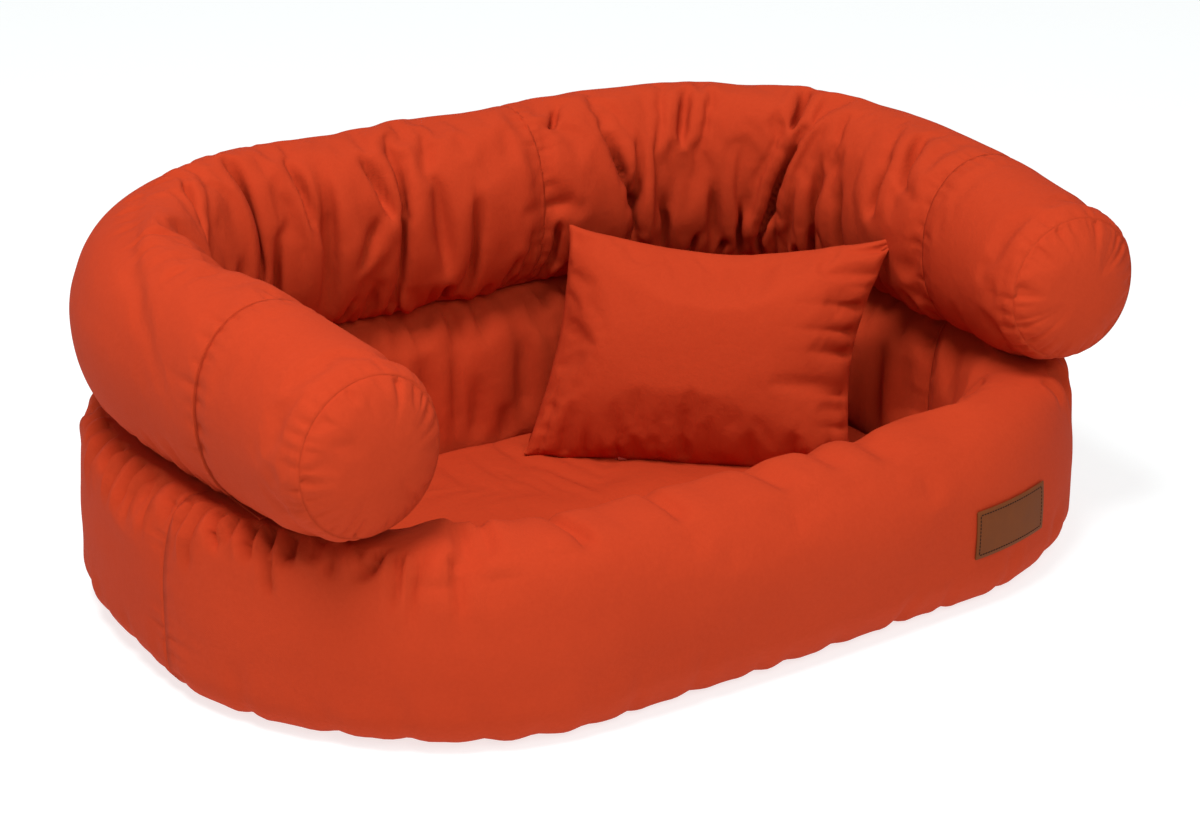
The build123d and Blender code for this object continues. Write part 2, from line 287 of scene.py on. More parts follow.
class Bolster(Stuffed):
    """A stuffed tube with closed ends, on a route that turns round the well.

    Angles go round the tube from its inner side over its top to its outer side.
    """

    girth, sides = 0.5, 84

    def __init__(self, name, start, heading, stretches, section, step):
        self.name, self.section = name, section
        self.length = sum(length for length, turn in stretches)
        self.rings = round(self.length / step)
        self.route = (start, radians(heading), stretches)
        self.folds, self.gathers = [], []
        self.piece = self.cut()
        x, y, z = self.points().T
        self.ring = np.rint((z + 0.5) * self.rings).astype(int)
        self.angle, self.share = np.arctan2(y, x), np.hypot(x, y)
        side = np.rint(self.angle / (2 * pi) * self.sides).astype(int) % self.sides
        self.grid = np.zeros((self.rings + 1, self.sides), int)
        skin = self.share > 0.5
        self.grid[self.ring[skin], side[skin]] = np.nonzero(skin)[0]
        self.along = self.ring / self.rings * self.length
        self.map_cloth(self.cloth_places())
        self.fit(self.laid())

    def cut(self):
        """A primitive cylinder, cut into rings across its height."""
        piece = added(
            bpy.ops.mesh.primitive_cylinder_add, self.name, vertices=self.sides, radius=1,
            depth=1, end_fill_type="TRIFAN", location=(0, 0, 0),
        )
        bpy.ops.object.mode_set(mode="EDIT")
        bpy.ops.mesh.select_mode(type="EDGE")
        bpy.ops.mesh.select_all(action="DESELECT")
        bpy.ops.object.mode_set(mode="OBJECT")
        corners = piece.data.vertices
        for edge in piece.data.edges:
            low, high = edge.vertices
            edge.select = abs(corners[low].co.z - corners[high].co.z) > 0.5
        bpy.ops.object.mode_set(mode="EDIT")
        bpy.ops.mesh.subdivide(number_cuts=self.rings - 1)
        bpy.ops.mesh.select_all(action="DESELECT")
        bpy.ops.object.mode_set(mode="OBJECT")
        corners = piece.data.vertices
        for edge in piece.data.edges:
            ends = [corners[number].co for number in edge.vertices]
            edge.select = all(abs(end.z) > 0.4999 and hypot(end.x, end.y) > 0.5 for end in ends)
        sharpen_selected()
        return piece

    def cloth_places(self):
        """Across and along the cloth, with no jump of a whole turn inside a face."""
        corners, faces = self.corners(), self.piece.data.polygons
        face_start = read(faces, "loop_start", 1, int)
        first = np.repeat(self.angle[corners[face_start]], read(faces, "loop_total", 1, int))
        turned = self.angle[corners]
        ahead, behind = turned - first > pi, first - turned > pi
        turned = turned + np.where(ahead, -2 * pi, 0) + np.where(behind, 2 * pi, 0)
        beyond = (1 - self.share) * np.where(self.ring == 0, -1, 1)
        return np.column_stack([turned / (2 * pi) * self.girth, (self.along + beyond)[corners]])

    def places(self):
        """Point and heading of each ring's middle."""
        return np.array([
            place_on(*self.route, ring / self.rings * self.length)
            for ring in range(self.rings + 1)
        ])

    def section_at(self, angle):
        return self.section(self.along, angle, self.length)

    def top(self):
        return self.section_at(np.full_like(self.angle, quarter))[1]

    def laid(self):
        """The tube on its route."""
        x, y, turn = self.places().T[:, self.ring]
        across, up = self.section_at(self.angle)
        foot = self.section_at(np.full_like(self.angle, -quarter))[1]
        centre = (self.top() + foot) / 2
        across, up = across * self.share, centre + (up - centre) * self.share
        return np.column_stack([x - np.sin(turn) * across, y + np.cos(turn) * across, up])

    def middles(self):
        """For each point, the middle of its ring."""
        return self.start_shape[self.grid].mean(axis=1)[self.ring]

    def from_seam(self, reach):
        """0 at the tube's two seams, and 1 from this far away from them."""
        return smooth_share(np.minimum(self.along, self.length - self.along) / reach)


def fold_depth(along, angle, folds, depth_share=1.0, width_share=1.0, fading=0.45):
    """How deep folds press into a tube, each a valley between two low banks.

    A fold has its place along the tube at its upper and its lower end, the angles of those
    ends in degrees, its depth and its half width. It fades in from its upper end.
    """
    fading_out, bank_height, bank_place, bank_width = 0.4, 0.3, 2.4, 1.1
    degrees = (angle * 180 / pi + 180) % 360 - 180
    depth = np.zeros(len(along))
    for upper, lower, upper_angle, lower_angle, deep, wide in folds:
        run = (degrees - upper_angle) / (lower_angle - upper_angle)
        fade = smooth_share(run / fading) * smooth_share((1 - run) / fading_out)
        middle = (lower - upper) * np.clip(run, 0, 1)
        off = np.abs(along - upper - middle) / (wide * width_share)
        bank = bank_height * np.exp(-((off - bank_place) / bank_width) ** 2)
        depth += deep * depth_share * fade * (np.exp(-off ** 1.4) - bank)
    return depth


def folded(bolster, folds):
    """Presses folds into a tube before it is filled, and keeps them for afterwards."""
    bolster.folds = folds
    depth = fold_depth(bolster.along, bolster.angle, folds)
    inward = bolster.middles() - bolster.start_shape
    inward /= np.maximum(np.linalg.norm(inward, axis=1), 1e-6)[:, None]
    depth = depth * (bolster.share > 0.5) * bolster.from_seam(0.015)
    bolster.fit(bolster.start_shape + inward * depth[:, None])


dice = np.random.default_rng(11)


def short_gathers(first, last, spacing, upper_angle, lower_angle, deep, wide):
    """Short folds at uneven distances, as a row of stitches makes them."""
    gathers, at = [], first
    while at < last:
        reach = dice.uniform(0.45, 1.0)
        lower = upper_angle + (lower_angle - upper_angle) * reach
        lean = dice.uniform(-0.012, 0.012)
        depth, width = deep * dice.uniform(0.4, 1.0), wide * dice.uniform(0.7, 1.2)
        gathers.append((at, at + lean, upper_angle, lower, depth, width))
        at += spacing * dice.uniform(0.6, 1.4)
    return gathers


def pucker_depth(along, distance, span, spacing, reach, deep, wide):
    """How deep a row of stitches pulls the cloth beside it, by places along it and from it."""
    depth, at = np.zeros(len(along)), 0.0
    while at < span:
        off = np.abs((along - at + span / 2) % span - span / 2) / wide
        away = distance / (reach * dice.uniform(0.4, 1.6))
        depth += deep * dice.uniform(0.2, 1.0) * np.exp(-off ** 1.5 - away ** 2)
        at += spacing * dice.uniform(0.5, 1.7)
    return depth * smooth_share(distance / 0.003)


def ready_to_fill(piece, held_share, calm_share, growth, pressure):
    """Makes a piece's skin cloth that is cut too large, so that it puckers when it is filled.

    held_share says for each point how firmly it stays, and calm_share how well its cloth fits.
    """
    for name, shares in (("held", held_share), ("calm", calm_share)):
        group = piece.vertex_groups.new(name=name)
        for number, share in enumerate(shares):
            group.add([number], float(share), "REPLACE")
    cloth = piece.modifiers.new("cloth", "CLOTH")
    settings = cloth.settings
    settings.quality = 5
    settings.mass = 0.3
    settings.tension_stiffness = settings.compression_stiffness = 12
    settings.shear_stiffness = 6
    settings.bending_stiffness = 0.4
    settings.tension_damping = settings.compression_damping = 10
    settings.use_pressure = True
    settings.uniform_pressure_force = pressure
    settings.vertex_group_mass = "held"
    settings.vertex_group_shrink = "calm"
    settings.shrink_min = -growth
    settings.shrink_max = 0
    settings.effector_weights.gravity = 0
    cloth.collision_settings.use_collision = False
    cloth.collision_settings.use_self_collision = False


def ready_tube(bolster, growth, calm_outside, calm_top, loose=0.0, slim=0.0):
    """loose says where the outer side is gathered after all.

    The tube may start slim, and then has cloth to spare along its length only.
    """
    hold, pressure = 0.05, 4.0
    middle = bolster.middles()
    bolster.fill_from = middle + (bolster.start_shape - middle) * (1 - slim)
    bolster.set_points(bolster.fill_from)
    ends = (bolster.ring == 0) | (bolster.ring == bolster.rings)
    outside = smooth_share(0.5 - 0.8 * np.cos(bolster.angle))
    top = np.clip(np.sin(bolster.angle), 0, 1) ** 2
    calm = np.clip(calm_outside * outside + calm_top * top, 0, 1) * (1 - loose)
    calm = 1 - (1 - calm) * bolster.from_seam(0.020)
    ready_to_fill(bolster.piece, np.where(ends, 1.0, hold), calm, growth, pressure)


def drawn_in(seam):
    """How far a seam draws the cloth in, by the distance from it."""
    return 0.0012 * np.exp(-(seam / 0.003) ** 2)


def wall_section(covered):
    """covered says where along the tube the roll lies on it and presses its top flat."""
    upright, turned_under, middle_share = 0.45, 0.3, 0.42

    def section(along, angle, length):
        """Upright faces, a round top, and a foot that is turned under on to the floor."""
        seam = np.minimum(along, length - along)
        pull = drawn_in(seam) + 0.004
        half = wall_thickness / 2 - pull
        top = wall_height - pull + pressed_swell * covered(along)
        middle = wall_foot + middle_share * (top - wall_foot)
        c, s = np.cos(angle), np.sin(angle)
        run = np.arctan2(-s, np.abs(c)) / quarter
        side = np.clip(run / upright, 0, 1)
        turn = np.clip((run - upright) / turned_under, 0, 1) * quarter
        flat = np.clip((run - 0.75) / 0.25, 0, 1)
        at_corner = np.exp(-((seam - 0.19) / 0.11) ** 2)
        tuck = np.where(c > 0, inner_tuck, foot_tuck + corner_tuck * at_corner)
        low_across = (half - tuck * (1 - np.cos(turn))) * (1 - flat)
        low_up = np.where(
            turn > 0, wall_foot + foot_rise * (1 - np.sin(turn)),
            middle - (middle - wall_foot - foot_rise) * side,
        )
        across = np.sign(c) * np.where(s > 0, half * np.abs(c) ** 0.52, low_across)
        up = np.where(s > 0, middle + (top - middle) * np.abs(s) ** 0.84, low_up)
        return across, np.minimum(up, pressed_height)
    return section


thinner_right, narrower_right, narrower_left = 0.012, 0.052, 0.036


def narrowed(points):
    """The bed is a little narrower in front, and its front wall is thinner on the right."""
    shape = points.copy()
    x, y = points[:, 0], points[:, 1]
    to_right, to_front = smooth_share((x + 0.05) / 0.30), smooth_share((-0.24 - y) / 0.10)
    shape[:, 1] += thinner_right * to_right * to_front
    narrower = np.where(x > 0, narrower_right, narrower_left)
    shape[:, 0] *= 1 - narrower * smooth_share((-0.03 - y) / 0.26)
    return shape


def under_arms(along):
    """Where the front wall carries the arms: 0 between them and 1 below them."""
    from_middle = np.abs(along - front_length / 2)
    return smooth_share((from_middle - arm_from_middle) / 0.05)


def everywhere(along):
    return np.ones_like(along)


front_turn, rear_turn = (front_bend * quarter, quarter), (rear_bend * quarter, quarter)
front_length = 2 * front_bend * quarter + 2 * (wall_x - front_bend)
arm_from_middle = front_length / 2 - 0.175
front_wall = Bolster(
    "front_wall", (-wall_x, wall_seam), 270,
    [front_turn, (2 * (wall_x - front_bend), 0), front_turn],
    wall_section(under_arms), wall_step,
)
rear_wall = Bolster(
    "rear_wall", (wall_x, wall_seam), 90,
    [(rear_side, 0), rear_turn, (2 * (wall_x - rear_bend), 0), rear_turn, (rear_side, 0)],
    wall_section(everywhere), wall_step,
)
front_wall.fit(narrowed(front_wall.start_shape))
rear_wall.fit(narrowed(rear_wall.start_shape))
front_folds = [
    (0.239, 0.243, 62, 140, 0.009, 0.010),
    (0.262, 0.256, 55, 120, 0.006, 0.009),
    (0.341, 0.338, 50, 125, 0.009, 0.009),
    (0.451, 0.443, 55, 118, 0.007, 0.010),
    (0.560, 0.570, 50, 120, 0.005, 0.016),
    (0.640, 0.634, 45, 115, 0.004, 0.014),
    (0.700, 0.690, 50, 122, 0.005, 0.018),
]
front_folds += short_gathers(0.200, front_length - 0.20, 0.060, 60, -40, 0.004, 0.012)
folded(front_wall, front_folds)
front_wall.gathers = [
    *short_gathers(0.004, 0.235, 0.017, 100, 170, 0.024, 0.0034),
    *short_gathers(front_length - 0.19, front_length - 0.004, 0.018, 100, 170, 0.020, 0.0036),
    *short_gathers(0.010, front_length - 0.01, 0.055, -105, -179, 0.0035, 0.0075),
]
rear_folds = [
    (0.613, 0.597, 70, 5, 0.006, 0.007),
    (0.691, 0.693, 20, -40, 0.006, 0.012),
    (0.659, 0.657, 5, -45, 0.005, 0.010),
]
rear_length = rear_wall.length
rear_folds += short_gathers(0.010, rear_length - 0.01, 0.030, 84, 10, 0.008, 0.008)
rear_folds += short_gathers(0.030, rear_length - 0.03, 0.060, 50, -60, 0.008, 0.013)
folded(rear_wall, rear_folds)
rear_wall.gathers = [
    *short_gathers(0.006, rear_length - 0.006, 0.020, 100, 165, 0.015, 0.0040),
    *short_gathers(0.010, rear_length - 0.01, 0.055, -105, -179, 0.0035, 0.0075),
    *short_gathers(0.010, rear_length - 0.01, 0.026, 80, 20, 0.004, 0.0050),
]


def below_roll(bolster, covered):
    """The strip of the outer side just below the roll, where the wall's cloth is gathered."""
    return 0.3 * covered(bolster.along) * np.exp(-((bolster.angle - 2.0) / 0.55) ** 2)


ready_tube(front_wall, 0.09, 0.95, 0.6, loose=below_roll(front_wall, under_arms))
ready_tube(rear_wall, 0.12, 0.97, 0.5, loose=below_roll(rear_wall, everywhere), slim=0.06)

# Underside. A sheet of dark non-slip cloth closes the bed below. It is cut to the bed's
# outline, sewn to the wall all round, and printed with small raised dots that grip the floor.
base_inset, base_thickness = 0.046, 0.0018


def grip_finish():
    """Dark cloth with a raised dot every six millimetres."""
    pitch = 2 * pi / 0.006
    finish = Finish("non_slip_cloth", (0.035, 0.034, 0.033), 0.8)
    x, y = finish.x_and_y()
    dots = (x * pitch).sine() * (y * pitch).sine()
    spread = finish.noise(finish.place(), 40.0)
    finish.feed("Base Color", finish.colours(spread, (0.028, 0.027, 0.026), (0.045, 0.043, 0.042)))
    finish.feed("Normal", finish.bump(dots, 0.0006))
    return finish.data


def around(outset):
    """The wall's centre line in plan, moved outwards: its directions and distances."""
    x, y, heading = np.concatenate([front_wall.places()[:-1], rear_wall.places()[:-1]]).T
    x, y = narrowed(np.column_stack([x + np.sin(heading) * outset, y - np.cos(heading) * outset])).T
    directions = np.arctan2(y, x)
    order = np.argsort(directions)
    return directions[order], np.hypot(x, y)[order]


base = added(
    bpy.ops.mesh.primitive_circle_add, "non_slip_base", vertices=120, radius=1,
    fill_type="TRIFAN", location=(0, 0, 0),
)
directions, distances = around(wall_thickness / 2 - base_inset)
for corner in base.data.vertices:
    if corner.co.length > 0.5:
        towards = atan2(corner.co.y, corner.co.x)
        corner.co *= float(np.interp(towards, directions, distances, period=2 * pi))
base_depth = base.modifiers.new("cloth", "SOLIDIFY")
base_depth.thickness, base_depth.offset = base_thickness, 1
bpy.ops.object.modifier_apply(modifier="cloth")
base.data.materials.append(grip_finish())
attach(base, "bed")
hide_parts("base_panel")

# Roll for the back and the arms. Four more tubes are sewn end to end above the wall, thick and
# round in the arms, taller and flatter in the back. They are stuffed less tightly than the wall.
arm_radius, back_half_thickness, back_half_height = 0.081, 0.072, 0.095
roll_foot, resting_height, pressed_in = 0.186, 0.1846, 0.012
arm_x, arm_front, arm_seam = 0.419, -0.256, -0.103
back_y, back_seam, roll_bend = 0.278, 0.080, 0.225
bend_start = back_y - roll_bend
arm_toe_in = 0.033 / (bend_start - arm_front)
toe_turn, toe_length = atan2(arm_toe_in, 1), 0.04
roll_turn = roll_bend * quarter
roll_step = 0.0065


def arm_place(behind):
    return arm_x - arm_toe_in * (bend_start - behind), behind


def roll_section(along_back, rests=everywhere):
    """The section of a tube of the roll.

    along_back says how much of it is back, not arm, and rests how firmly it lies on the wall.
    """
    def section(along, angle, length):
        pull = drawn_in(np.minimum(along, length - along)) + 0.003
        share = along_back(along)
        thick = arm_radius + share * (back_half_thickness - arm_radius) - pull
        tall = arm_radius + share * (back_half_height - arm_radius)
        c, s = np.cos(angle), np.sin(angle)
        across = thick * np.sign(c) * np.abs(c) ** 0.95
        sunk = np.where(s < 0, pressed_in * rests(along), 0)
        up = roll_foot + tall + (tall - pull + sunk) * np.sign(s) * np.abs(s) ** 0.95
        return across, np.maximum(up, resting_height)
    return section


arm_slope = hypot(1, arm_toe_in)
before_bend = (bend_start - arm_seam) * arm_slope - toe_length
arm_growth, arm_length = 0.62, (arm_seam - arm_front) * arm_slope


def grown(from_arm):
    """How much of its change from arm to back the roll has, so far behind the arm's seam."""
    in_arm = arm_growth * np.clip(1 + from_arm / arm_length, 0, 1) ** 1.3
    in_back = smooth_share(from_arm / (before_bend + toe_length + roll_turn))
    return in_arm + (1 - arm_growth) * in_back


right_back = Bolster(
    "right_back", arm_place(arm_seam), 90 - toe_turn / pi * 180,
    [
        (before_bend, 0), (toe_length, toe_turn), (roll_turn, quarter),
        (arm_x - roll_bend - back_seam, 0),
    ],
    roll_section(grown), roll_step,
)
left_stretches = [
    (back_seam + arm_x - roll_bend, 0), (roll_turn, quarter), (toe_length, toe_turn),
    (before_bend, 0),
]
left_length = sum(length for length, turn in left_stretches)
left_back = Bolster(
    "left_back", (back_seam, back_y), 180, left_stretches,
    roll_section(lambda along: grown(left_length - along)), roll_step,
)
arm_end_round, arm_end_reach, arm_taper, taper_reach = 0.004, 0.012, 0.003, 0.05


def arm_section(from_front):
    """The roll's section, drawn in a little towards the end disc."""
    whole = roll_section(
        lambda along: grown(from_front(along) - arm_length),
        lambda along: smooth_share((from_front(along) - 0.01) / 0.06),
    )

    def section(along, angle, length):
        across, up = whole(along, angle, length)
        near = np.clip(1 - from_front(along) / arm_end_reach, 0, 1)
        rounding = arm_end_round * (1 - np.sqrt(1 - near ** 2))
        smaller = (rounding + arm_taper * np.exp(-from_front(along) / taper_reach)) / arm_radius
        centre = roll_foot + arm_radius
        return across * (1 - smaller), centre + (up - centre) * (1 - smaller)
    return section


right_arm = Bolster(
    "right_arm", arm_place(arm_front), 90 - toe_turn / pi * 180, [(arm_length, 0)],
    arm_section(lambda along: along), roll_step,
)
left_arm = Bolster(
    "left_arm", (-arm_place(arm_seam)[0], arm_seam), 270 + toe_turn / pi * 180,
    [(arm_length, 0)], arm_section(lambda along: arm_length - along), roll_step,
)
left_folds = [
    (0.425, 0.505, 80, 24, 0.009, 0.010),
    (0.355, 0.349, 80, -20, 0.010, 0.011),
    (0.283, 0.258, 70, -4, 0.007, 0.010),
    (0.250, 0.250, 64, -60, 0.013, 0.010),
    (0.205, 0.184, 62, 4, 0.009, 0.008),
    (0.164, 0.168, 66, -45, 0.008, 0.010),
    (0.200, 0.224, 16, -16, 0.006, 0.008),
    (0.082, 0.088, 30, -64, 0.008, 0.008),
    (0.020, 0.015, -5, -62, 0.009, 0.006),
    (0.034, 0.040, -20, -62, 0.006, 0.006),
    (0.123, 0.118, 40, -40, 0.005, 0.014),
    (0.320, 0.318, 20, -56, 0.006, 0.010),
    (0.405, 0.415, 10, -50, 0.008, 0.012),
    (0.460, 0.452, 0, -50, 0.007, 0.012),
    (0.560, 0.545, 60, -30, 0.006, 0.014),
    (0.610, 0.600, 50, -30, 0.005, 0.012),
    (0.670, 0.655, 45, -20, 0.004, 0.012),
]
left_folds += short_gathers(0.030, left_length - 0.02, 0.030, -66, -10, 0.006, 0.006)
left_folds += short_gathers(0.300, left_length - 0.08, 0.028, 118, 60, 0.0025, 0.007)
right_folds = [
    (0.540, 0.496, 50, -50, 0.012, 0.009),
    (0.497, 0.512, 42, -46, 0.009, 0.008),
    (0.412, 0.432, 76, 20, 0.006, 0.010),
    (0.271, 0.272, 84, 40, 0.009, 0.009),
    (0.251, 0.330, 46, -60, 0.012, 0.009),
    (0.341, 0.348, -8, -64, 0.009, 0.006),
    (0.385, 0.380, 10, -60, 0.006, 0.012),
    (0.455, 0.450, 0, -60, 0.006, 0.012),
    (0.576, 0.598, 78, 52, 0.006, 0.007),
    (0.604, 0.608, -5, -62, 0.009, 0.006),
    (0.094, 0.088, 40, 0, 0.006, 0.012),
    (0.088, 0.046, 84, 22, 0.007, 0.012),
    (0.160, 0.165, 20, -55, 0.006, 0.014),
    (0.215, 0.225, 30, -55, 0.006, 0.012),
]
right_folds += short_gathers(0.030, right_back.length - 0.02, 0.030, -66, -10, 0.006, 0.006)
deeper, slimmer = 1.5, 0.85
for tube, folds in ((left_back, left_folds), (right_back, right_folds)):
    folded(tube, [(*fold[:4], fold[4] * deeper, fold[5] * slimmer) for fold in folds])
    tube.gathers = [
        *short_gathers(0.010, tube.length - 0.01, 0.020, -66, -25, 0.005, 0.0045),
        *short_gathers(0.010, tube.length - 0.01, 0.022, -110, -165, 0.005, 0.0050),
    ]
ready_tube(right_back, 0.20, 0.95, 0.40, slim=0.06)
ready_tube(left_back, 0.20, 0.95, 0.40, slim=0.12)
ready_tube(right_arm, 0.04, 0.3, 0.2)
ready_tube(left_arm, 0.04, 0.3, 0.2)

# End discs. Each arm is closed in front by a round piece of canvas, sewn in all round and
# pushed out by the stuffing.
disc_bulge, disc_radius = 0.015, arm_radius - 0.0112


class Pad(Stuffed):
    """Two sheets of cloth, one over the other, joined all round their edge.

    A place on them is given by two numbers from -1 to 1, and by 1 for the front sheet or
    -1 for the back one.
    """

    def __init__(self, name, cells_across, cells_up, shape, placed, flat_size=None):
        self.name = name
        self.piece = self.sheets(cells_across, cells_up)
        flat = self.points()
        self.u, self.v = flat[:, 0] * 2, flat[:, 1] * 2
        self.front = np.where(flat[:, 2] > 0.005, 1, -1)
        self.edge = np.maximum(np.abs(self.u), np.abs(self.v)) > 1 - 1e-4
        local = shape(self.u, self.v, self.front)
        places = local[:, :2] if flat_size is None else flat[:, :2] * flat_size
        self.map_cloth(places[self.corners()])
        turn = np.array(placed.to_3x3())
        self.outward = turn @ np.array((0, 0, 1))
        self.fit(local @ turn.T + np.array(placed.translation))
        bpy.ops.object.select_all(action="DESELECT")
        self.piece.select_set(True)
        bpy.ops.object.mode_set(mode="EDIT")
        bpy.ops.mesh.select_all(action="SELECT")
        bpy.ops.mesh.normals_make_consistent(inside=False)
        bpy.ops.mesh.select_all(action="DESELECT")
        bpy.ops.object.mode_set(mode="OBJECT")

    def press(self, depth):
        """Pushes the sheets towards each other."""
        self.fit(self.start_shape - self.outward * (self.front * depth)[:, None])

    def sheets(self, cells_across, cells_up):
        """A grid with its double above it, closed all round, with its front rim as a seam.

        Solidify numbers the points in one order, which the filling needs to repeat exactly.
        """
        piece = added(
            bpy.ops.mesh.primitive_grid_add, self.name, x_subdivisions=cells_across,
            y_subdivisions=cells_up, size=1, location=(0, 0, 0),
        )
        double = piece.modifiers.new("double", "SOLIDIFY")
        double.thickness, double.offset = 0.01, 1
        bpy.ops.object.modifier_apply(modifier="double")
        bpy.ops.object.mode_set(mode="EDIT")
        bpy.ops.mesh.select_all(action="DESELECT")
        bpy.ops.object.mode_set(mode="OBJECT")
        corners = piece.data.vertices
        for edge in piece.data.edges:
            (a, b, c), (d, e, f) = (corners[number].co for number in edge.vertices)
            on_rim = max(abs(a + d), abs(b + e)) > 0.9999
            edge.select = on_rim and c > 0.005 and f > 0.005
        sharpen_selected()
        return piece


def around_middle(u, v):
    """Takes a square of places on to rings: each one's direction and its share of the reach."""
    share, far = np.maximum(np.abs(u), np.abs(v)), np.hypot(u, v)
    steady = np.maximum(far, 1e-9)
    return np.where(far > 0, u / steady, 1), np.where(far > 0, v / steady, 0), share


def disc_shape(u, v, front):
    x, y, share = around_middle(u, v)
    bulge = disc_bulge * (1 - np.clip(share, 0, 1) ** 2.5) ** 0.66
    reach = disc_radius * share
    return np.column_stack([reach * x, reach * y, np.where(front > 0, bulge, -0.004)])


def placed(middle, across, up):
    """Where a flat piece goes: its middle, and the ways its width and height point."""
    across, up = Vector(across).normalized(), Vector(up).normalized()
    turn = Matrix((across, up, across.cross(up))).transposed()
    return Matrix.Translation(middle) @ turn.to_4x4()


def end_disc(side):
    """side is 1 for the right arm and -1 for the left."""
    x, y = arm_place(arm_front)
    ahead = Vector((-side * arm_toe_in, -1, 0)).normalized()
    across = Vector((-ahead.y, ahead.x, 0))
    middle = Vector((side * x, y, roll_foot + arm_radius))
    name = "right_end_disc_canvas" if side > 0 else "left_end_disc_canvas"
    return Pad(name, 30, 30, disc_shape, placed(middle, across, (0, 0, 1)))


right_disc, left_disc = end_disc(1), end_disc(-1)
for disc in (right_disc, left_disc):
    from_rim = (1 - np.maximum(np.abs(disc.u), np.abs(disc.v))) * disc_radius
    behind = disc.front < 0
    turned, round_trip = np.arctan2(disc.v, disc.u) * disc_radius, 2 * pi * disc_radius
    depth = pucker_depth(turned, from_rim, round_trip, 0.014, 0.018, 0.0045, 0.0035)
    disc.press(np.where(behind, 0, depth))
    held, calm = np.where(disc.edge | behind, 1.0, 0.05), np.full(len(from_rim), 0.3)
    ready_to_fill(disc.piece, held, calm, 0.05, 1.0)

# Seat cushion. A flat cushion of the same canvas, with rounded corners to fit the well, the
# front ones rounder. Its edge is upright, it is a little crowned, and its zip is behind.
seat_half_length, seat_half_depth = 0.361, 0.211
seat_front_corner, seat_rear_corner = 0.150, 0.132
seat_foot, seat_top, seat_crown, seat_wave = 0.0022, 0.036, 0.006, 0.0022


def seat_shape(u, v, front):
    """A rounded rectangle, whose rim is a half round."""
    x, y, share = around_middle(u, v)
    level_x, level_y = np.abs(x), np.abs(y)
    corner = np.where(v > 0, seat_rear_corner, seat_front_corner)
    flat_x, flat_y = seat_half_length - corner, seat_half_depth - corner
    reach = np.minimum(
        seat_half_length / np.maximum(level_x, 1e-9), seat_half_depth / np.maximum(level_y, 1e-9),
    )
    in_corner = (level_x * reach > flat_x) & (level_y * reach > flat_y)
    towards = level_x * flat_x + level_y * flat_y
    left_over = towards ** 2 - flat_x ** 2 - flat_y ** 2 + corner ** 2
    reach = np.where(in_corner, towards + np.sqrt(np.maximum(left_over, 0)), reach)
    middle, half = (seat_foot + seat_top) / 2, (seat_top - seat_foot) / 2
    rim = np.clip((share - 0.90) / 0.10, 0, 1)
    side = half * np.sqrt(np.maximum(1 - rim ** 2, 0)) ** 0.8
    up = middle + front * side + np.where(front > 0, seat_crown * (1 - share ** 2), 0)
    return np.column_stack([x * reach * share, y * reach * share, np.maximum(up, seat_foot)])


def seat_waves(x, y):
    """The top's broad, low waves, where the wadding inside has shifted."""
    return seat_wave * np.sin(x * 21 + 1.5 * np.sin(y * 17)) * np.cos(y * 19 + 0.6)


seat = Pad("seat_cushion", 90, 56, seat_shape, Matrix.Identity(4))
wander = seat_waves(*np.round(seat.start_shape[:, :2], 6).T)
seat.start_shape[:, 2] += np.where((seat.front > 0) & ~seat.edge, wander, 0)
seat.set_points(seat.start_shape)
held, calm = np.where(seat.edge | (seat.front < 0), 1.0, 0.12), np.full(len(seat.u), 0.4)
ready_to_fill(seat.piece, held, calm, 0.018, 1.0)

# Pillow. Two oblong pieces of canvas are sewn together round their edge and stuffed, so that
# the corners stay pointed while the edges draw in and pucker. It leans in the rear right
# corner of the well, on the seat cushion.
pillow_corners = ((-0.150, 0.120), (0.186, 0.126), (-0.182, -0.122), (0.160, -0.120))
pillow_half_width, pillow_half_height, pillow_half_thickness = 0.170, 0.119, 0.044
top_hollow, foot_hollow, right_hollow, left_hollow = 0.21, 0.02, 0.13, 0.08
pillow_turn, pillow_lean = radians(-44), radians(22)
pillow_stands_at, pillow_foot = 0.0405, 0.1225
pillow_middle = Vector((
    arm_x - 0.248, back_y - 0.228, pillow_stands_at + pillow_foot * cos(pillow_lean),
))
pillow_across = Vector((cos(pillow_turn), sin(pillow_turn), 0))
pillow_up = Vector((
    -sin(pillow_turn) * sin(pillow_lean), cos(pillow_turn) * sin(pillow_lean), cos(pillow_lean)
))


def pillow_shape(u, v, front):
    """Hollow edges, and a body that is thickest in its middle and lower half."""
    side_hollow = np.where(u > 0, right_hollow, left_hollow)
    level_hollow = np.where(v > 0, top_hollow, foot_hollow)
    u_in = u * (1 - side_hollow * (1 - np.abs(v) ** 1.7) * np.abs(u) ** 2)
    v_in = v * (1 - level_hollow * (1 - np.abs(u) ** 1.6) * np.abs(v) ** 2)
    right, over = (1 + u_in) / 2, (1 + v_in) / 2
    x, y = (
        (top_left * (1 - right) + top_right * right) * over
        + (foot_left * (1 - right) + foot_right * right) * (1 - over)
        for top_left, top_right, foot_left, foot_right in zip(*pillow_corners)
    )
    swell = ((1 - u ** 2) * (1 - v ** 2)) ** 0.45
    low = 1.06 - 0.14 * v
    return np.column_stack([x, y, front * (0.0012 + pillow_half_thickness * swell * low)])


def pillow_edges(x, y):
    """The foot and the right edge: places along each, distances from it, and its length."""
    return (
        (x, pillow_half_height + y, 2 * pillow_half_width),
        (y, pillow_half_width - x, 2 * pillow_half_height),
    )


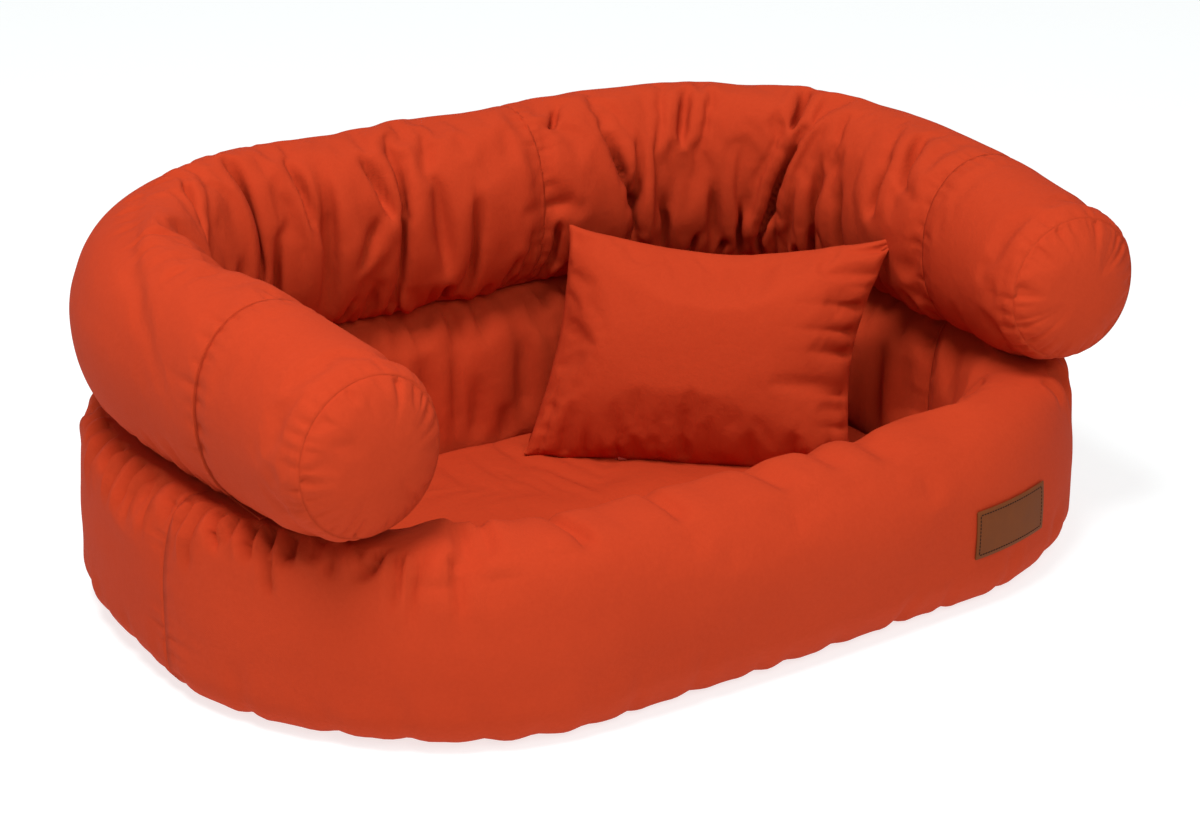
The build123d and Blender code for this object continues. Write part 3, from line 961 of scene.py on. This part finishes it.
pillow = Pad(
    "pillow", 76, 56, pillow_shape, placed(pillow_middle, pillow_across, pillow_up),
    (2 * pillow_half_width, 2 * pillow_half_height),
)
foot_edge, right_edge = pillow_edges(pillow.u * pillow_half_width, pillow.v * pillow_half_height)
depth = pucker_depth(*foot_edge, 0.040, 0.050, 0.0035, 0.011)
depth += pucker_depth(*right_edge, 0.032, 0.045, 0.006, 0.008)
pillow.press(depth)
held, calm = np.where(pillow.edge, 0.35, 0.05), np.where(pillow.edge, 1.0, 0.4)
ready_to_fill(pillow.piece, held, calm, 0.05, 3.0)

# Stuffing. All the covers are filled at once: pressure stands for the fibre inside them. Of what
# the filling does to a tube, the fine puckers are kept, and little of the broad swelling.
frames = 16
tubes = (
    (front_wall, 0.04, 0.008), (rear_wall, 0.1, 0.012),
    (right_back, 0.15, 0.015), (left_back, 0.15, 0.015),
    (right_arm, 0.08, 0.004), (left_arm, 0.08, 0.004),
)
pads = ((right_disc, 0.006), (left_disc, 0.006), (seat, 0.006), (pillow, 0.014))


def blurred(field, reach):
    """A field over rings and sides, smoothed over so many of each."""
    steps = np.arange(-2 * reach, 2 * reach + 1)
    weights = np.exp(-(steps / reach) ** 2)
    weights /= weights.sum()
    ends = np.repeat(field[:1], 2 * reach, 0), np.repeat(field[-1:], 2 * reach, 0)
    longer = np.concatenate([ends[0], field, ends[1]])
    starts = steps + 2 * reach
    smooth = sum(w * longer[start:start + len(field)] for start, w in zip(starts, weights))
    return sum(w * np.roll(smooth, step, axis=1) for step, w in zip(steps, weights))


covers = [row[0] for row in tubes + pads]
for step in range(1, frames + 1):
    bpy.context.scene.frame_set(step)
settled = bpy.context.evaluated_depsgraph_get()
for cover in covers:
    cover.filled = read(cover.piece.evaluated_get(settled).data.vertices, "co")
for cover in covers:
    cover.piece.modifiers.clear()
for tube, broad_share, most_fine in tubes:
    moved = (tube.filled - tube.fill_from)[tube.grid]
    broad = blurred(moved, 5)
    moved = broad_share * broad + np.clip(moved - broad, -most_fine, most_fine)
    final = tube.start_shape.copy()
    final[tube.grid] += moved * tube.from_seam(0.022)[tube.grid][:, :, None]
    tube.set_points(final)
for pad, most in pads:
    moved = pad.filled - pad.start_shape
    length = np.maximum(np.linalg.norm(moved, axis=1), 1e-9)[:, None]
    pad.set_points(pad.start_shape + moved * np.minimum(1, most / length))

# Contact. The wall's cloth is turned under and comes down to the floor outside the base. The
# wall's top and the roll's underside are pressed flat against each other.
floor_height, above_base, over_base = 0.0003, 0.0022, 0.045
flat_within = 0.0004
for tube in (front_wall, rear_wall):
    points, laid = tube.points(), tube.laid()[:, 2]
    across, height = tube.section_at(tube.angle)[0], points[:, 2]
    lowest = np.where(np.abs(across) < over_base, above_base, floor_height)
    foot = smooth_share((0.024 - laid) / 0.020)
    height += (np.maximum(laid, lowest) - height) * foot
    height[laid > pressed_height - flat_within] = pressed_height
    carries_roll = tube.top() > pressed_height - flat_within
    height[:] = np.clip(height, lowest, np.where(carries_roll, pressed_height, 1.0))
    tube.set_points(points)
for tube in (right_back, left_back, right_arm, left_arm):
    points = tube.points()
    points[tube.laid()[:, 2] < resting_height + flat_within, 2] = resting_height
    points[:, 2] = np.maximum(points[:, 2], resting_height)
    tube.set_points(points)

# Canvas. All ten stuffed pieces are of one cloth, a plain weave of orange-red thread, creased
# finely by its washing. A seam is sewn hard, so that the cloth puckers on both its sides.
sewn_hard = (0.014, 0.016, 0.0036, 0.0030)
pillow_sewn = (0.026, 0.034, 0.0060, 0.0048)


def canvas_finish():
    """Plain weave: a thread over and a thread under, just over a millimetre for the pair."""
    finish = Finish("orange_canvas", (0.49, 0.0435, 0.0115), 0.9, Specular_IOR_Level=0.1)
    u, v = finish.x_and_y("UV")
    thread = 2 * pi / 0.0013
    weave = (u * thread).sine() * (v * thread).sine()
    soft = finish.noise(finish.place(), 9.0, 3.0)
    fine = finish.noise(finish.place(), 260.0, 4.0, 0.65)
    shade = soft * 0.5 + fine * 0.5
    finish.feed(
        "Base Color", finish.colours(shade, (0.425, 0.0350, 0.0090), (0.530, 0.0500, 0.0136))
    )
    creases = finish.noise(finish.place(), 55.0, 5.0, 0.6)
    wavy = finish.bump(creases, 0.0016, 0.7)
    finish.feed("Normal", finish.bump(weave, 0.00012, 0.7, under=wavy))
    return finish.data


canvas = canvas_finish()


def on_cloth(stuffed):
    """Each point's place on the cloth of a smoothed piece."""
    places = np.zeros((len(stuffed.piece.data.vertices), 2))
    places[stuffed.corners()] = read(stuffed.piece.data.uv_layers.active.data, "uv", 2)
    return places.T


def pressed(stuffed, depth, lowest=0.0):
    """Presses a smoothed piece in, square to its surface."""
    normals = read(stuffed.piece.data.vertex_normals, "vector")
    points = stuffed.points() - normals * depth[:, None]
    points[:, 2] = np.maximum(points[:, 2], lowest)
    stuffed.set_points(points)


def creased(tube):
    """Presses the sharp creases into a smoothed tube, and the puckers beside its seams."""
    across, along = on_cloth(tube)
    angle = across / tube.girth * 2 * pi
    seam = np.minimum(along, tube.length - along)
    depth = fold_depth(along, angle, tube.folds, 0.85, 0.55)
    depth += fold_depth(along, angle, tube.gathers, fading=0.2)
    depth *= smooth_share(seam / 0.010)
    for distance in (along, tube.length - along):
        depth += pucker_depth(
            angle * arm_radius, np.maximum(distance, 0), 2 * pi * arm_radius, *sewn_hard,
        )
    on_wall = tube in (front_wall, rear_wall)
    pressed(tube, depth * (seam > -1e-6), floor_height if on_wall else resting_height)


def disc_rim(x, y):
    rim = np.arctan2(y, x) * disc_radius
    return ((rim, disc_radius - np.hypot(x, y), 2 * pi * disc_radius),)


def puckered(pad, edges_of, row):
    """Presses puckers into a smoothed pad, along each edge that edges_of gives."""
    pressed(pad, sum(
        pucker_depth(along, np.maximum(distance, 0), span, *row)
        for along, distance, span in edges_of(*on_cloth(pad))
    ))


def finished(stuffed, body, fill, *nodes):
    """Gives a stuffed piece its canvas, its last smoothing and its place on a body."""
    piece = stuffed.piece
    piece.data.materials.clear()
    piece.data.materials.append(canvas)
    bpy.ops.object.select_all(action="DESELECT")
    piece.select_set(True)
    bpy.context.view_layer.objects.active = piece
    bpy.ops.object.shade_smooth()
    finer = piece.modifiers.new("finer", "SUBSURF")
    finer.levels = finer.render_levels = 1
    bpy.ops.object.modifier_apply(modifier="finer")
    if isinstance(stuffed, Bolster):
        creased(stuffed)
    elif stuffed is pillow:
        puckered(pillow, pillow_edges, pillow_sewn)
    elif stuffed is not seat:
        puckered(stuffed, disc_rim, sewn_hard)
    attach(piece, body)
    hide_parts(*nodes)


finished(front_wall, "bed", 0.85, "front_wall_cover", "front_wall_filling")
finished(rear_wall, "bed", 0.85, "rear_wall_cover", "rear_wall_filling")
finished(right_back, "bed", 0.7, "right_back_cover", "right_back_filling")
finished(left_back, "bed", 0.7, "left_back_cover", "left_back_filling")
finished(right_arm, "bed", 0.8, "right_arm_cover", "right_arm_filling")
finished(left_arm, "bed", 0.8, "left_arm_cover", "left_arm_filling")
finished(right_disc, "bed", 0.8, "right_end_disc")
finished(left_disc, "bed", 0.8, "left_end_disc")
finished(seat, "seat_cushion", 0.6, "seat_cushion_cover", "seat_cushion_filling")
finished(pillow, "pillow", 0.6, "pillow_cover", "pillow_filling")
refinish("roll_joining_tape", canvas)

# Zips. Each has a woven ribbon sewn into the cushion's edge, a nylon coil and a small metal
# slider without a pull, painted in the cloth's colour.


def ribbon_finish():
    """Ribbon, ribbed both ways, with a rib every 0.9 millimetres."""
    finish = Finish("zip_ribbon", (0.42, 0.036, 0.010), 0.8, Specular_IOR_Level=0.2)
    rib = 2 * pi / 0.0009
    x, y = finish.x_and_y()
    ribs = (x * rib).sine() * 0.5 + (y * rib).sine() * 0.5
    cloudy = finish.noise(finish.place(), 70.0)
    finish.feed("Base Color", finish.colours(cloudy, (0.38, 0.032, 0.009), (0.46, 0.040, 0.012)))
    finish.feed("Normal", finish.bump(ribs, 0.0001))
    return finish.data


def coil_finish():
    """Nylon coil, with a turn every 1.2 millimetres."""
    finish = Finish("zip_coil_nylon", (0.40, 0.034, 0.010), 0.45)
    x, y = finish.x_and_y()
    turns = (x * (2 * pi / 0.0012)).sine()
    worn = finish.noise(finish.place(), 300.0)
    finish.feed("Base Color", finish.colours(worn, (0.36, 0.030, 0.009), (0.44, 0.038, 0.012)))
    finish.feed("Roughness", 0.38 + worn * 0.2)
    finish.feed("Normal", finish.bump(turns, 0.0003))
    return finish.data


def slider_finish():
    finish = Finish("zip_slider_metal", (0.36, 0.030, 0.009), 0.4, Coat_Weight=0.3)
    worn = finish.noise(finish.place(), 420.0, 4.0)
    finish.feed("Base Color", finish.colours(worn, (0.32, 0.026, 0.008), (0.40, 0.034, 0.010)))
    finish.feed("Roughness", 0.28 + worn * 0.25)
    finish.feed("Normal", finish.bump(worn, 0.00008))
    return finish.data


ribbon, coil, slider = ribbon_finish(), coil_finish(), slider_finish()
for cushion_name in ("seat", "pillow"):
    refinish(cushion_name + "_zip_tape", ribbon)
    refinish(cushion_name + "_zip_coil", coil)
    refinish(cushion_name + "_zip_slider", slider)

# Label. A bare patch of brown leather is sewn to the right of the front wall, with a line of
# dark stitches near its edge.
label_x, label_z = 0.255, 0.081
label_width, label_height, label_thickness = 0.102, 0.048, 0.0016
stitch_inset, stitch_pitch, stitch_length, stitch_width = 0.0038, 0.0036, 0.0034, 0.0014


def leather_finish():
    finish = Finish("brown_leather", (0.16, 0.042, 0.010), 0.7, Specular_IOR_Level=0.1)
    cells = finish.node("ShaderNodeTexVoronoi", None, {"Vector": finish.place(), "Scale": 900.0})
    cloudy = finish.noise(finish.place(), 55.0, 4.0)
    finish.feed("Base Color", finish.colours(cloudy, (0.135, 0.034, 0.008), (0.185, 0.049, 0.012)))
    finish.feed("Roughness", 0.6 + cloudy * 0.2)
    finish.feed("Normal", finish.bump(cells, 0.0002, 0.5))
    return finish.data


def thread_finish():
    finish = Finish("dark_thread", (0.02, 0.008, 0.005), 0.8, Specular_IOR_Level=0.1)
    twist = finish.noise(finish.place(), 1500.0)
    finish.feed("Base Color", finish.colours(twist, (0.014, 0.006, 0.004), (0.026, 0.010, 0.006)))
    finish.feed("Normal", finish.bump(twist, 0.0001))
    return finish.data


def wall_face(across, up):
    """How far forward the front wall's cloth is behind a place on the label."""
    from_front = Vector((label_x + across * label_width, -0.6, label_z + up * label_height))
    return front_wall.piece.ray_cast(from_front, Vector((0, 1, 0)))[1].y


def bow_terms(across, up):
    """What a plain bow, by which stiff leather bends, is made up of."""
    return np.column_stack([np.ones_like(across), across, across ** 2, up, up ** 2, across * up])


label = added(
    bpy.ops.mesh.primitive_grid_add, "label_leather_patch", x_subdivisions=24,
    y_subdivisions=12, size=1, location=(0, 0, 0),
)
spots = np.array([corner.co[:2] for corner in label.data.vertices])
terms = bow_terms(*spots.T)
cloth_y = np.array([wall_face(across, up) for across, up in spots])
bow = np.linalg.lstsq(terms, cloth_y, rcond=None)[0]
raised = (terms @ bow - cloth_y).max() + 0.0003


def on_label(across, up, lift):
    """A place on the label, from -0.5 to 0.5 across and up, so far out of its face."""
    y = float((bow_terms(np.array([across]), np.array([up])) @ bow)[0])
    return Vector((label_x + across * label_width, y - raised - lift, label_z + up * label_height))


for corner in label.data.vertices:
    corner.co = on_label(corner.co.x, corner.co.y, 0)
leather_depth = label.modifiers.new("leather", "SOLIDIFY")
leather_depth.thickness, leather_depth.offset = label_thickness, 1
cut_edge = label.modifiers.new("cut_edge", "BEVEL")
cut_edge.width, cut_edge.segments, cut_edge.limit_method = 0.0004, 2, "ANGLE"
for modifier in ("leather", "cut_edge"):
    bpy.ops.object.modifier_apply(modifier=modifier)
label.data.materials.append(leather_finish())
bpy.ops.object.shade_smooth_by_angle(angle=radians(40))
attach(label, "bed")
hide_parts("label_patch")

thread = thread_finish()


def stitch_row(name, count, turned, middle):
    """A row of stitches, from a small ball drawn out and repeated, laid on the leather."""
    row = added(
        bpy.ops.mesh.primitive_uv_sphere_add, name, segments=8, ring_count=6, radius=0.5,
        location=(0, 0, 0),
    )
    bpy.ops.object.mode_set(mode="EDIT")
    bpy.ops.mesh.select_all(action="SELECT")
    bpy.ops.transform.resize(value=(stitch_length, stitch_width, stitch_width))
    bpy.ops.object.mode_set(mode="OBJECT")
    repeat = row.modifiers.new("row", "ARRAY")
    repeat.count = count
    repeat.use_relative_offset = False
    repeat.use_constant_offset = True
    repeat.constant_offset_displace = (stitch_pitch, 0, 0)
    bpy.ops.object.modifier_apply(modifier="row")
    for corner in row.data.vertices:
        along = corner.co.x - (count - 1) * stitch_pitch / 2
        across = corner.co.y
        x, z = (along, across) if not turned else (-across, along)
        lift = label_thickness + corner.co.z - 0.1 * stitch_width
        corner.co = on_label((middle[0] + x) / label_width, (middle[1] + z) / label_height, lift)
    row.data.materials.append(thread)
    bpy.ops.object.shade_smooth()
    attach(row, "bed")
    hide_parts("label_stitching")


rise, reach = label_height / 2 - stitch_inset, label_width / 2 - stitch_inset
long_count, short_count = int(2 * reach / stitch_pitch), int(2 * rise / stitch_pitch)
stitch_row("label_stitches_top", long_count, False, (0, rise))
stitch_row("label_stitches_bottom", long_count, False, (0, -rise))
stitch_row("label_stitches_left", short_count, True, (-reach, 0))
stitch_row("label_stitches_right", short_count, True, (reach, 0))
